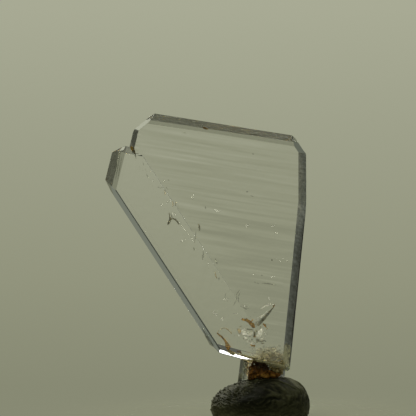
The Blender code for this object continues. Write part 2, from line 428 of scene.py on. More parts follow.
    # tips: low undulations, with the ridge a hair out of true
    for k in chosen(A_TIP):
        p = co[k]
        ridge = len([1 for f in bm.verts[int(k)].link_faces if f[layer] == A_TIP]) >= 3
        w = 0.022 * noise.noise(Vector((ua[k] * 0.55, 3.3, 0))) + 0.012 * noise.noise(Vector((ua[k] * 1.7, 7.7, 0)))
        step = 0.03 / (1 + np.exp(-(ua[k] + 10.3) / 0.08))
        if ridge and sa[k] > 23.3:
            move[k] += np.array(AXIS_A) * (w - step + 0.015)
    for v, d in zip(bm.verts, move):
        v.co += Vector(d) * MM
    for f in bm.faces:
        if f[layer] == A_SIDE and f.material_index == CLEAR:
            f.material_index = GROWN
        if f[layer] == A_TIP and f.normal.y > 0.3:
            f.material_index = ETCHED
        c = f.calc_center_median() / MM
        if f[layer] not in (A_FRONT, B_FRONT, B_TIP) and (c - spot(121.5, 149.5, -0.5)).xz.length < 1.25 and abs(f.normal.y) < 0.99:
            f.material_index = ETCHED
        if f[layer] == B_SIDE and f.normal.z < -0.5 and c.x > -0.55 + 0.25 * sin(9 * c.y) and c.z < 9:
            f.material_index = STAINED
    mesh = bpy.data.meshes.new("quartz_twin")
    bm.to_mesh(mesh)
    bm.free()
    for p in mesh.polygons:
        p.use_smooth = True
    mesh.set_sharp_from_angle(angle=radians(4.0))
    return mesh


def streak(x0, y0, x1, y1, width, strength):
    """A growth step that shows as a light (or dark, if negative) streak, from its ends in the frame."""
    a, b = spot(x0, y0, FRONT_Y) - SEED, spot(x1, y1, FRONT_Y) - SEED
    sa, sb, ua, ub = a.dot(AXIS_A), b.dot(AXIS_A), a.dot(SIDE_A), b.dot(SIDE_A)
    return ((sa + sb) / 2, width, strength, (ua + ub) / 2, abs(ub - ua) / 2)


STREAKS = np.array(
    [
        streak(181, 154.5, 206, 159, 0.09, 0.010),
        streak(168, 131.5, 188, 134.5, 0.07, 0.007),
        streak(219, 161, 236, 164.5, 0.08, 0.007),
        streak(228, 141, 268, 148, 0.08, 0.005),
        streak(243, 193, 262, 197, 0.09, 0.007),
        streak(211, 209.5, 222, 212, 0.08, 0.008),
        streak(255, 279.5, 291, 283.5, 0.07, 0.009),
        streak(238, 267, 272, 274, 0.08, 0.008),
        streak(150, 140, 176, 144, 0.08, 0.006),
        streak(200, 176, 226, 181, 0.08, 0.005),
        streak(262, 173, 292, 178, 0.08, 0.005),
        streak(150, 158, 186, 162, 0.13, 0.004),
        streak(138, 143, 162, 147, 0.14, 0.004),
        streak(150, 150, 190, 155, 0.12, 0.004),
        streak(184, 214, 218, 219, 0.14, 0.008),
        streak(178, 209, 204, 213, 0.14, 0.006),
        streak(176, 184, 202, 189, 0.16, -0.006),
        streak(186, 191, 232, 197, 0.2, 0.005),
        streak(222, 264, 290, 275, 0.25, 0.009),
        streak(244, 272, 290, 279, 0.16, 0.005),
        streak(243, 281, 291, 287, 0.14, 0.005),
        streak(262, 283, 276, 285, 0.07, -0.004),
        streak(240, 160, 292, 168, 0.2, -0.004),
        streak(215, 137, 292, 149, 0.22, -0.005),
        streak(230, 243, 292, 252, 0.2, 0.004),
        streak(250, 215, 294, 222, 0.15, 0.003),
    ]
)


def bump(n, height, strength, distance):
    return n.add("ShaderNodeBump", {"Strength": strength, "Distance": distance, "Height": height}).outputs[0]


def quartz_material(name, smoothest, roughest, grain, tint=(1, 1, 1), pits=None):
    mat, n = new_material(name)
    at = n.place()
    fine = n.noise(2600.0, 4.0, 0.6, at)
    waves = n.noise(1300.0, 1.0, 0.5, at)
    color = (*tint, 1)
    if pits:
        color = n.mix(n.span(n.noise(4200.0, 5.0, 0.7, at), 0.40, 0.60), (*pits, 1), color)
    shader = n.add(
        "ShaderNodeBsdfPrincipled",
        {
            "Base Color": color,
            "Roughness": n.span(fine, 0.3, 0.7, smoothest, roughest),
            "IOR": IOR,
            "Transmission Weight": 1.0,
            "Normal": bump(n, waves, 1.0, grain),
        },
    )
    # a trace of smoke that shows only along the plate
    smoke = n.add("ShaderNodeVolumeAbsorption", {"Color": (0.828, 0.838, 0.79, 1), "Density": 28.0})
    n.add("ShaderNodeOutputMaterial", {"Surface": shader.outputs[0], "Volume": smoke.outputs[0]})
    return mat


twin = bpy.data.objects.new("quartz_twin", twin_mesh())
scene.collection.objects.link(twin)
twin.data.materials.append(quartz_material("rock_crystal", 0.0, 0.012, 0.000003))
twin.data.materials.append(quartz_material("rock_crystal_worn_edge", 0.28, 0.40, 0.000004))
twin.data.materials.append(quartz_material("rock_crystal_etched", 0.27, 0.33, 0.000001))
twin.data.materials.append(quartz_material("rock_crystal_stained", 0.36, 0.54, 0.00002, srgb(240, 236, 222)))
# the ground bevel along the lower long edge is tinted dark blue grey: painted shade along that edge
twin.data.materials.append(quartz_material("rock_crystal_ground_edge_painted_shade", 0.22, 0.36, 0.00002, srgb(64, 72, 74)))
twin.data.materials.append(quartz_material("rock_crystal_side_face", 0.0, 0.03, 0.00001, pits=srgb(200, 197, 194)))
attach(twin, "root")
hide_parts("twin_crystal")



# ---------------------------------------------------------------- helpers for small pieces
def add_piece(name, mesh, mat, smooth=True):
    ob = bpy.data.objects.new(name, mesh)
    scene.collection.objects.link(ob)
    mesh.materials.append(mat)
    for p in mesh.polygons:
        p.use_smooth = smooth
    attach(ob, "root")
    return ob


def applied(ob, name):
    """The mesh of an object with its modifiers applied; the object goes."""
    graph = bpy.context.evaluated_depsgraph_get()
    mesh = bpy.data.meshes.new_from_object(ob.evaluated_get(graph))
    mesh.name = name
    bpy.data.objects.remove(ob, do_unlink=True)
    mesh.materials.clear()
    return mesh


def ball(subdivisions):
    bm = bmesh.new()
    bmesh.ops.create_icosphere(bm, subdivisions=subdivisions, radius=1.0)
    verts = np.array([v.co for v in bm.verts])
    faces = np.array([[v.index for v in f.verts] for f in bm.faces])
    bm.free()
    return verts, faces


def lumps(name, items, subdivisions=2, uneven=0.0, sharp=3.0):
    """Many small lumps in one mesh: each a centre in mm, three half sizes and a turn."""
    ball_v, ball_f = ball(subdivisions)
    verts, faces = [], []
    for index, (centre, sizes, turn) in enumerate(items):
        v = ball_v.copy()
        if uneven:
            v *= np.array([1 + uneven * noise.noise(Vector(q) * sharp + Vector((index * 3.1, index * 1.7, 0))) for q in v])[:, None]
        c, s_ = cos(turn), sin(turn)
        v = v * np.array(sizes)
        v = v @ np.array([[c, 0, s_], [0, 1, 0], [-s_, 0, c]]).T + np.array(centre)
        faces.append(ball_f + len(ball_v) * index)
        verts.append(v)
    mesh = bpy.data.meshes.new(name)
    mesh.from_pydata((np.concatenate(verts) * MM).tolist(), [], np.concatenate(faces).tolist())
    return mesh


# ---------------------------------------------------------------- display putty
def putty_outline(turn, level):
    """Point of the smooth lump in mm: turn about the upright, level -1 to 1 of its height as on a ball."""
    x, y, z = cos(turn) * (1 - level**2) ** 0.5, sin(turn) * (1 - level**2) ** 0.5, level
    flat = (x * x + y * y) ** 0.5
    if flat > 1e-6:
        square = (abs(cos(turn)) ** 2.25 + abs(sin(turn)) ** 2.25) ** (-1 / 2.25)
        x, y = x * square, y * square
    q = Vector((x, y, z)) * 1.9
    uneven = (
        sin(2.3 * q.x + 1.7 * q.z + 0.4) * 0.45
        + sin(3.1 * q.y - 2.2 * q.x + 0.8) * 0.35
        + sin(4.7 * q.z + 3.9 * q.y - 0.52) * 0.20
    )
    wander = 1 + 0.05 * uneven * (0.3 + 0.7 * min(1.0, abs(y)))
    px, py = 5.08 * x, 5.6 * y * wander
    crown = 2.75 + 0.14 * px + 0.012 * px * px
    return Vector((px, py, 1.45 + z * (crown * wander if z > 0 else 4.1)))


def bell(x, middle, width):
    return np.exp(-(((x - middle) / width) ** 2))


def putty_mesh():
    cols, rows = 440, 170
    foot = -1.45 / 4.1
    levels = [sin(a) for a in np.linspace(pi / 2, np.arcsin(foot), rows)]
    turns = [2 * pi * k / cols for k in range(cols)]
    bm = bmesh.new()
    top = bm.verts.new(putty_outline(0.0, 0.99999))
    rings = [[bm.verts.new(putty_outline(t, l)) for t in turns] for l in levels[1:]]
    for k in range(cols):
        bm.faces.new((top, rings[0][k], rings[0][(k + 1) % cols]))
    for a, b in zip(rings, rings[1:]):
        for k in range(cols):
            bm.faces.new((a[k], b[k], b[(k + 1) % cols], a[(k + 1) % cols]))
    bmesh.ops.recalc_face_normals(bm, faces=bm.faces)
    bm.normal_update()
    bm.verts.ensure_lookup_table()
    co = np.array([v.co for v in bm.verts])
    no = np.array([v.normal for v in bm.verts])
    x, y, z = co.T
    N = noise.noise
    soft = np.array([N(Vector((p[0] * 0.45, p[1] * 0.45, p[2] * 0.6))) for p in co])
    mid = np.array([N(Vector((p[0] * 1.3, p[1] * 1.3 + 5, p[2] * 1.6))) for p in co])
    fine = np.array([N(Vector((p[0] * 4.5, p[1] * 4.5, p[2] * 5.5 + 3))) for p in co])
    grain = np.array([N(Vector((p[0] * 11, p[1] * 11, p[2] * 12))) for p in co])
    # folds: long wrinkles that follow the crown round to the right
    along = np.array([N(Vector((p[0] * 0.35, p[1] * 1.1, p[2] * 1.2 + 20))) for p in co])
    ripple = np.array([N(Vector((p[0] * 0.9, p[1] * 2.1, p[2] * 2.3 + 40))) for p in co])
    swell = np.clip(0.55 + 1.3 * np.array([N(Vector((p[0] * 0.6 + 9, p[1] * 0.8, p[2] * 0.9))) for p in co]), 0.1, 1)
    fold_phase = 2 * pi * (z * 0.95 - y * 0.62 + 0.22 * (x - 1.5) ** 2 * 0.35 + 0.55 * along + 0.16 * ripple) / 0.62
    folds = 0.5 + ((0.5 + 0.5 * np.sin(fold_phase)) ** 1.6 - 0.5) * swell
    creases = 0.5 + 0.5 * np.sin(2 * pi * (z * 0.8 - y * 0.8 + 0.4 * soft + 0.25 * along + 0.14 * ripple) / 0.27)
    creases = 0.5 + (creases - 0.5) * (1.1 - swell)
    # scales: flaky crumbs where it was pinched on the left
    cell = np.empty(len(co))
    for k, p in enumerate(co):
        if p[0] < 1.5 and p[2] > 0.2:
            w = 0.8 * mid[k] + 0.2 * fine[k]
            d = noise.voronoi(Vector((p[0] * 1.9 + w, p[1] * 1.5 + w, p[2] * 2.6 - w)))[0]
            e = noise.voronoi(Vector((p[0] * 4.3 - w, p[1] * 3.2, p[2] * 5.0 + w)))[0]
            cell[k] = 0.62 * min(1.0, (d[1] - d[0]) * 1.5) + 0.38 * min(1.0, (e[1] - e[0]) * 1.6)
        else:
            cell[k] = 0.5
    upper = np.clip((z - 1.2) / 1.2, 0, 1)
    left = np.clip((-1.7 - x + 1.3 * (z - 1.9)) / 1.5, 0, 1) * np.clip((z - 0.25) / 1.6, 0, 1) ** 1.5
    rightward = np.clip((x + 0.6) / 1.6, 0, 1) * upper
    middle = bell(x, -0.6, 2.4) * np.clip((z - 0.6) / 0.8, 0, 1) * (1 - left * 0.7)
    h = 0.075 * soft + 0.035 * mid + 0.012 * fine + 0.003 * grain
    h += 0.13 * bell(x, 0.9, 2.0) * upper
    h += rightward * (0.11 * (folds - 0.5) + 0.03 * creases)
    h += left * (0.24 * (0.6 + 1.2 * np.clip(mid + 0.3, 0, 1)) * (cell - 0.4) + 0.09 * fine + 0.035 * grain)
    h += middle * (0.05 * creases + 0.03 * (folds - 0.5))
    lower = np.clip((1.3 - z) / 1.0, 0, 1)
    h *= 1 - 0.6 * lower
    # pressed and dragged a little where it was pushed down on its base
    skirt = np.clip((1.7 - z) / 0.9, 0, 1) * np.clip(z / 0.35, 0, 1)
    drag = 0.5 + 0.5 * np.sin(2 * pi * (z * 1.5 + 0.9 * soft + 0.5 * mid + 0.1 * fine) / 0.62)
    h += skirt * (0.10 * mid + 0.05 * (drag - 0.5) + 0.03 * fine + 0.008 * grain)
    # painted light and shade, with random dust: lighter on ridges, fold crests and scale edges, painted light on the
    # upper left, a painted highlight on the upper right, painted shade in creases and across the middle
    tone = 0.34 + rightward * 0.4 * np.clip((x - 1.2) / 2, 0, 1) * np.clip((z - 2.0) / 1.0, 0, 1) + (0.2 + 0.5 * left) * fine + (0.08 + 0.25 * left) * grain + left * (1.3 * (cell - 0.3) + 0.42) + rightward * (0.6 * (folds - 0.5) + 0.25 * (creases - 0.5)) + middle * (0.6 * (creases - 0.6) - 0.36)
    tone += skirt * (0.5 * mid + 0.4 * (drag - 0.5) + 0.35 * fine + 0.2 * grain)
    co2 = co + no * (h - 0.055)[:, None] * np.clip(z / 0.25, 0, 1)[:, None]
    co2[:, 0] = np.clip(co2[:, 0], -5.08, 5.08)
    for v, p in zip(bm.verts, co2):
        v.co = Vector(p) * MM
    # flat underside, a little in from the outline
    under = [bm.verts.new(v.co) for v in rings[-1]]
    for v, w in zip(under, rings[-1]):
        v.co = Vector((w.co.x * 0.985, w.co.y * 0.985, 0.0))
        w.co.z = 0.00002
    for k in range(cols):
        bm.faces.new((rings[-1][k], under[k], under[(k + 1) % cols], rings[-1][(k + 1) % cols]))
    bm.faces.new(list(reversed(under)))
    bmesh.ops.recalc_face_normals(bm, faces=bm.faces)
    mesh = bpy.data.meshes.new("putty_lump")
    bm.to_mesh(mesh)
    bm.free()
    dust_and_painted_light = np.full(len(mesh.vertices), 0.4)
    dust_and_painted_light[: len(tone)] = np.clip(tone, 0, 1)
    mesh.attributes.new("dust_and_painted_light", "FLOAT", "POINT").data.foreach_set("value", dust_and_painted_light)
    return mesh


def putty_material():
    mat, n = new_material("kneaded_putty")
    at = n.place()
    z = n.add("ShaderNodeSeparateXYZ", {0: at}).outputs[2]
    dust = n.noise(2600.0, 4.0, 0.65, at)
    patch = n.noise(420.0, 3.0, 0.5, at)
    dust_and_painted_light = n.add("ShaderNodeAttribute").outputs["Fac"]
    dust_and_painted_light.node.attribute_name = "dust_and_painted_light"
    dust_and_painted_light = n.math("ADD", dust_and_painted_light, n.math("MULTIPLY", n.math("SUBTRACT", dust, 0.5), 0.25))
    # painted shade in creases and painted light on ridges come from the attribute; the lit colour grows lighter towards
    # the right, a painted highlight on that side
    base = n.mix(n.span(dust_and_painted_light, 0.1, 0.95), (*srgb(11, 11, 6), 1), n.mix(n.span(n.add("ShaderNodeSeparateXYZ", {0: at}).outputs[0], -0.0018, 0.0012), (*srgb(60, 60, 42), 1), (*srgb(90, 90, 64), 1)))
    base = n.mix(n.span(patch, 0.35, 0.65, 0.0, 0.35), base, (*srgb(30, 32, 20), 1))
    base = n.mix(n.span(dust, 0.58, 0.8), base, (*srgb(92, 94, 72), 1))
    # greener and lighter low down, where the floor lights it
    low = n.math("MULTIPLY", n.span(z, 0.0023, 0.0008), n.span(dust_and_painted_light, -0.1, 0.6, 0.4, 0.9))
    base = n.mix(low, base, (*srgb(90, 90, 66), 1))
    rough = n.span(dust, 0.3, 0.8, 0.55, 0.85)
    shader = n.add(
        "ShaderNodeBsdfPrincipled",
        {
            "Base Color": base,
            "Roughness": rough,
            "Specular IOR Level": 0.08,
            "Specular Tint": (0.80, 0.82, 0.58, 1),
            "Normal": bump(n, n.noise(5200.0, 4.0, 0.6, at), 0.5, 0.00003),
        },
    )
    n.add("ShaderNodeOutputMaterial", {0: shader.outputs[0]})
    return mat


putty = add_piece("putty_lump", putty_mesh(), putty_material())
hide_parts("display_putty")


# ---------------------------------------------------------------- iron oxide crust
def inside(px, py, outline):
    hit = False
    for (x0, y0), (x1, y1) in zip(outline, outline[1:] + outline[:1]):
        if (y0 > py) != (y1 > py) and px < (x1 - x0) * (py - y0) / (y1 - y0) + x0:
            hit = not hit
    return hit


CRUST_OUTLINE = [(250, 379.4), (249.2, 373), (250.6, 367), (252.2, 363), (255, 361.4), (258, 362.2), (262, 361.4), (265.5, 361.6), (267.5, 365.4), (269.5, 369.6), (273, 371.6), (277, 373), (279.4, 374), (279.4, 376.2), (266, 377.2), (256, 377)]


def crust_mesh():
    rng = np.random.default_rng(3)
    items = []
    while len(items) < 460:
        px, py = rng.uniform(245, 288), rng.uniform(358, 382)
        if not inside(px, py, CRUST_OUTLINE):
            continue
        size = rng.uniform(0.06, 0.18)
        items.append((spot(px, py, rng.uniform(-1.5, -0.62), in_glass=False), size * rng.uniform(0.8, 1.35, 3), rng.uniform(0, 3)))
    mesh = lumps("crust_grains", items)
    ob = bpy.data.objects.new("crust_grains", mesh)
    scene.collection.objects.link(ob)
    mod = ob.modifiers.new("fuse", "REMESH")
    mod.mode = "VOXEL"
    mod.voxel_size = 0.033 * MM
    mesh = applied(ob, "iron_oxide_grains")
    count = len(mesh.vertices)
    co, nor = np.empty(count * 3), np.empty(count * 3)
    mesh.vertices.foreach_get("co", co)
    mesh.vertices.foreach_get("normal", nor)
    co, nor = co.reshape(-1, 3), nor.reshape(-1, 3)
    h = np.array(
        [0.055 * noise.noise(p * 7) + 0.035 * noise.noise(p * 15) + 0.05 * noise.noise(p * 2.5) for p in map(Vector, co / MM)]
    )
    mesh.vertices.foreach_set("co", (co + nor * h[:, None] * MM).ravel())
    mesh.update()
    return mesh


def rust_material():
    mat, n = new_material("iron_oxide")
    at = n.place()
    xyz = n.add("ShaderNodeSeparateXYZ", {0: at})
    x, z = xyz.outputs[0], xyz.outputs[2]
    big = n.noise(700.0, 4.0, 0.6, at)
    small = n.noise(3600.0, 5.0, 0.7, at)
    # near black in its middle, orange brown along its left fringe and low on its right
    left = n.span(x, 0.0000, -0.0010)
    low_right = n.math("MULTIPLY", n.span(x, 0.0008, 0.0020), n.span(z, 0.0052, 0.0042))
    low = n.span(z, 0.0056, 0.0046, 0.0, 0.75)
    t = n.math("ADD", n.math("MULTIPLY", big, 0.6), n.math("MULTIPLY", small, 0.55))
    t = n.math("ADD", n.math("MULTIPLY", t, 1.25), n.math("SUBTRACT", n.math("MULTIPLY", n.math("MAXIMUM", n.math("MULTIPLY", left, 0.7), n.math("MAXIMUM", low_right, low)), 0.36), 0.24))
    base = n.ramp(
        n.span(t, 0.35, 1.0),
        [(0.0, srgb(32, 22, 9)), (0.34, srgb(62, 39, 13)), (0.52, srgb(100, 64, 19)), (0.74, srgb(148, 102, 36)), (1.0, srgb(204, 164, 82))],
    )
    shader = n.add(
        "ShaderNodeBsdfPrincipled",
        {
            "Base Color": base,
            "Roughness": n.span(small, 0.3, 0.7, 0.45, 0.9),
            "Specular IOR Level": 0.25,
            "Normal": bump(n, n.noise(9000.0, 4.0, 0.6, at), 0.6, 0.00003),
        },
    )
    n.add("ShaderNodeOutputMaterial", {0: shader.outputs[0]})
    return mat


crust = add_piece("iron_oxide_grains", crust_mesh(), rust_material())
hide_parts("iron_oxide_crust")

# ---------------------------------------------------------------- what is sealed in the crystal
class Bits:
    """Gathers thin closed plates, given by outlines in the frame, into one mesh."""

    def __init__(self, seed):
        self.verts, self.faces = [], []
        self.rng = np.random.default_rng(seed)

    def plate(self, outline, y, thick=0.03, ripple=0.05, jag=0.25, lean=0.0, in_glass=True):
        pts = []
        for (x0, y0), (x1, y1) in zip(outline, outline[1:] + outline[:1]):
            count = max(1, int(np.hypot(x1 - x0, y1 - y0) / 0.7))
            for k in range(count):
                f = k / count
                j = self.rng.uniform(-jag, jag, 2)
                pts.append(Vector((x0 + (x1 - x0) * f + j[0], y0 + (y1 - y0) * f + j[1])))
        rim = len(pts)
        xs, ys = [p.x for p in pts], [p.y for p in pts]
        for gx in np.arange(min(xs) + 0.5, max(xs), 0.9):
            for gy in np.arange(min(ys) + 0.5, max(ys), 0.9):
                j = self.rng.uniform(-0.25, 0.25, 2)
                if inside(gx + j[0], gy + j[1], [(p.x, p.y) for p in pts[:rim]]):
                    pts.append(Vector((gx + j[0], gy + j[1])))
        v, _, f, _, _, _ = delaunay_2d_cdt(pts, [], [list(range(rim))], 1, 1e-4)
        base = len(self.verts)
        middle = sum(ys[:rim]) / rim
        front, behind = [], []
        for q in v:
            deep = (y(q.x, q.y) if callable(y) else y) + lean * (middle - q.y) * 0.1028 + ripple * noise.noise(Vector((q.x * 0.45, q.y * 0.45, base * 0.37)))
            a = spot(q.x, q.y, deep, in_glass)
            front.append(a)
            behind.append(a + Vector((0, thick, 0)))
        self.verts += front + behind
        n = len(v)
        used = {}
        for tri in f:
            tri = list(tri)
            area = sum(v[tri[i - 1]].x * v[tri[i]].y - v[tri[i]].x * v[tri[i - 1]].y for i in range(len(tri)))
            if area < 0:
                tri.reverse()
            self.faces.append([base + i for i in reversed(tri)])
            self.faces.append([base + n + i for i in tri])
            for i in range(len(tri)):
                used[(tri[i - 1], tri[i])] = True
        for a, b in used:
            if (b, a) not in used:
                self.faces.append([base + a, base + b, base + n + b, base + n + a])

    def stroke(self, path, widths, y, **more):
        """A ribbon along a path; widths in pixels at each point."""
        path = [Vector(p) for p in path]
        left, right_ = [], []
        for k, p in enumerate(path):
            d = (path[min(k + 1, len(path) - 1)] - path[max(k - 1, 0)]).normalized()
            side = Vector((-d.y, d.x)) * widths[k] / 2
            left.append(tuple(p + side))
            right_.append(tuple(p - side))
        self.plate(left + right_[::-1], y, **more)

    def dot(self, px, py, w, h, y, turn=0.0, **more):
        c, s_ = cos(radians(turn)), sin(radians(turn))
        k = self.rng.uniform(0.5, 1.35, 8)
        ring = [(w / 2 * q * cos(a), h / 2 * q * sin(a)) for q, a in zip(k, np.linspace(0, 2 * pi, 9)[:-1])]
        self.plate([(px + a * c + b * s_, py - a * s_ + b * c) for a, b in ring], y, **more)

    def piece(self, name, mat, slot="quartz"):
        mesh = bpy.data.meshes.new(name)
        mesh.from_pydata([tuple(v * MM) for v in self.verts], [], self.faces)
        bm = bmesh.new()
        bm.from_mesh(mesh)
        bmesh.ops.recalc_face_normals(bm, faces=bm.faces)
        bm.to_mesh(mesh)
        bm.free()
        return add_piece(name, mesh, mat, smooth=False)


def film_material(name, low, high, cover_low, cover_high, scale, share=0.5):
    """Thin film for stains, milky veils, painted glints, painted light and painted shade: light passes where it is
    thin.
    """
    mat, n = new_material(name)
    at = n.place()
    tone = n.noise(scale, 4.0, 0.6, at)
    cover = n.span(n.noise(scale * 0.7, 5.0, 0.65, at, 0.4), 0.3, 0.7, cover_low, cover_high)
    color = n.mix(n.span(tone, 0.32, 0.68), (*low, 1), (*high, 1))
    # a film is a thin closed plate: light meets it once, going in
    front = n.math("SUBTRACT", 1.0, n.add("ShaderNodeNewGeometry").outputs["Backfacing"])
    cover = n.math("MULTIPLY", cover, front)
    body = n.add("ShaderNodeMixShader", {0: share, 1: n.add("ShaderNodeBsdfDiffuse", {0: color}).outputs[0], 2: n.add("ShaderNodeBsdfTranslucent", {0: color}).outputs[0]}).outputs[0]
    out = n.add("ShaderNodeMixShader", {0: cover, 1: n.add("ShaderNodeBsdfTransparent").outputs[0], 2: body}).outputs[0]
    n.add("ShaderNodeOutputMaterial", {0: out})
    return mat


def rust_bits():
    b = Bits(21)
    b.stroke([(241.5, 319.2), (246, 320), (249.5, 322), (252.5, 325.3), (254.2, 328)], [1.8, 3.0, 3.4, 4.3, 2.2], -0.7, jag=0.4)
    b.stroke([(250, 323), (252, 320.6), (253, 319.5)], [1.4, 1.0, 0.6], -0.65)
    b.stroke([(263, 323.8), (265, 325), (266, 327.2)], [1.2, 2.4, 1.2], -0.6)
    b.stroke([(216.8, 332.8), (219.5, 335.2), (222.5, 337.6), (225.5, 341)], [1.0, 2.0, 1.8, 2.2], -0.9)
    b.plate([(224.8, 340), (227.5, 342), (230.8, 346.5), (229.6, 349), (227.2, 349.6), (225.2, 346.5)], -0.9)
    b.stroke([(228.2, 349), (230.6, 351.6), (233.2, 354.4)], [2.0, 1.4, 2.2], -1.1)
    b.plate([(249.8, 344), (252, 344.9), (255.4, 345), (254.6, 346.8), (251.8, 346.6)], -1.25, jag=0.15)
    for px, py, w, h, t in ((246.4, 361.6, 2.2, 1.6, 20), (248.8, 363.4, 1.4, 2.6, -10), (245.6, 364.4, 1.0, 3.0, 8), (247.4, 366.8, 1.8, 2.2, 0), (249.4, 368.6, 1.4, 1.2, 0), (246.8, 370.4, 2.4, 1.4, 30), (248.6, 371.8, 1.6, 1.4, 0), (250.6, 359.8, 2.2, 1.0, -15), (244.9, 361.2, 1.0, 1.4, 0)):
        b.dot(px, py, w, h, -0.52, t, jag=0.35, in_glass=False)
    b.dot(254.5, 336, 2.2, 3.4, -0.5, 20)
    b.dot(240.5, 331.5, 1.4, 3.0, -0.6, -20)
    notch = Bits(30)
    notch.stroke([(130.6, 146.6), (132.6, 149), (134.6, 152.6)], [1.8, 4.2, 1.6], -1.3)
    notch.piece("notch_stain", film_material("notch_stain", srgb(98, 80, 34), srgb(156, 132, 66), 0.7, 1.0, 4200.0, share=0.3))
    b.stroke([(202.8, 127.6), (205, 128.6), (208, 129.8)], [1.6, 2.6, 1.2], -1.25)
    b.stroke([(273.4, 306.6), (274.8, 304.6)], [1.6, 1.0], -0.95)
    return b.piece("rust_stains", film_material("rust_stain", srgb(116, 74, 20), srgb(196, 152, 62), 0.7, 1.0, 4200.0))


def pale_rust_bits():
    b = Bits(22)
    b.stroke([(164.4, 189.8), (165.2, 192.5), (164.8, 195)], [0.9, 1.5, 0.8], -0.7)
    b.stroke([(172.6, 201), (173.2, 204), (172.6, 206.8)], [0.6, 1.1, 0.6], -0.7)
    b.stroke([(175.4, 201.2), (175.8, 204), (175, 206.4)], [0.5, 0.9, 0.5], -0.7)
    b.stroke([(215, 271.6), (215.6, 275), (217, 278.6)], [0.8, 1.3, 0.7], -0.6)
    b.stroke([(168.2, 222.5), (167.6, 225)], [0.8, 0.7], -0.75)
    b.stroke([(220, 329.6), (223.5, 328), (226.8, 328.8), (230.4, 331.6), (231.6, 334)], [0.7, 1.0, 1.2, 1.6, 0.8], -0.9)
    b.stroke([(218.5, 330), (217.6, 333)], [1.0, 0.8], -0.9)
    b.plate([(236.8, 328.4), (239.4, 328.2), (241.4, 331.4), (240.4, 334.6), (238, 333)], -0.75)
    b.plate([(243, 359), (249, 360), (251, 363), (248, 368), (249.5, 374), (246.6, 372), (245.2, 366.5), (243.8, 363)], -0.52, in_glass=False)
    b.plate([(246.4, 366), (250, 367), (250.4, 372), (248.6, 379), (246.8, 379), (247.2, 372)], -0.5, in_glass=False)
    b.plate([(244.8, 367), (249, 366.4), (250, 370), (249.4, 375), (246.4, 374.4), (244.6, 371)], -0.53, in_glass=False)
    b.plate([(250, 359.6), (254, 360.4), (252.4, 366), (249.8, 371), (248, 368), (250.4, 363)], -0.54, in_glass=False)
    b.plate([(266, 326), (268, 328.6), (266.6, 330)], -0.6)
    return b.piece("pale_rust_stains", film_material("pale_rust_stain", srgb(166, 136, 76), srgb(230, 208, 150), 0.25, 0.75, 3200.0))


def on_tip(px, py):
    """Depth of the outside of the front facet of B's tip at a place in the frame."""
    y = -1.0
    for _ in range(3):
        y = -0.415 - 0.787 * (21.72 - (spot(px, py, y, False) - SEED).dot(AXIS_B))
    return max(y, FRONT_Y - 0.004)


def along_tip(f, t):
    """Place in the frame on B's tip: f from its outline to the bend inside it, t down its length."""
    return (112.3 - 6.3 * t + 6.3 * f, 153.6 + 25.0 * t + f * (-1.2 + 7.5 * t))


def painted_shade_bits():
    b = Bits(29)
    # darker streaks on the light band of B's tip: painted shade
    for f, t0, t1, w in ((1.3, 0.0, 0.8, 0.8), (1.62, 0.15, 0.75, 0.6)):
        b.stroke([along_tip(f, t) for t in np.linspace(t0, t1, 5)], [0.4 * w, w, 1.2 * w, 0.9 * w, 0.3 * w], on_tip, thick=0.006, ripple=0.0, jag=0.08, in_glass=False)
    # grey film over the stub's left band: painted shade
    for k in range(3):
        b.plate([(243.4, 359.4), (246, 359.8), (248.6 - k, 361), (247.6 - k, 366), (247 - k, 372), (246.4 - 0.8 * k, 379), (242.2, 379), (242.8, 369)], -0.56 - 0.02 * k, thick=0.01, ripple=0.02, jag=0.4, in_glass=False)
    # dark streaks along the lower long edge: painted shade
    b.stroke([(198.6, 320), (203, 328.6), (207.6, 337), (211.4, 343.4), (214.2, 346.6)], [0.8, 2.0, 4.2, 4.4, 1.6], -0.5, thick=0.01, jag=0.3, in_glass=False)
    b.stroke([(203.4, 331), (208, 338.6), (212.6, 345)], [0.6, 2.2, 1.0], -0.56, thick=0.01, jag=0.3, in_glass=False)
    return b.piece("painted_shade_films", film_material("painted_shade_film", srgb(112, 118, 104), srgb(160, 162, 138), 0.25, 0.7, 2400.0))


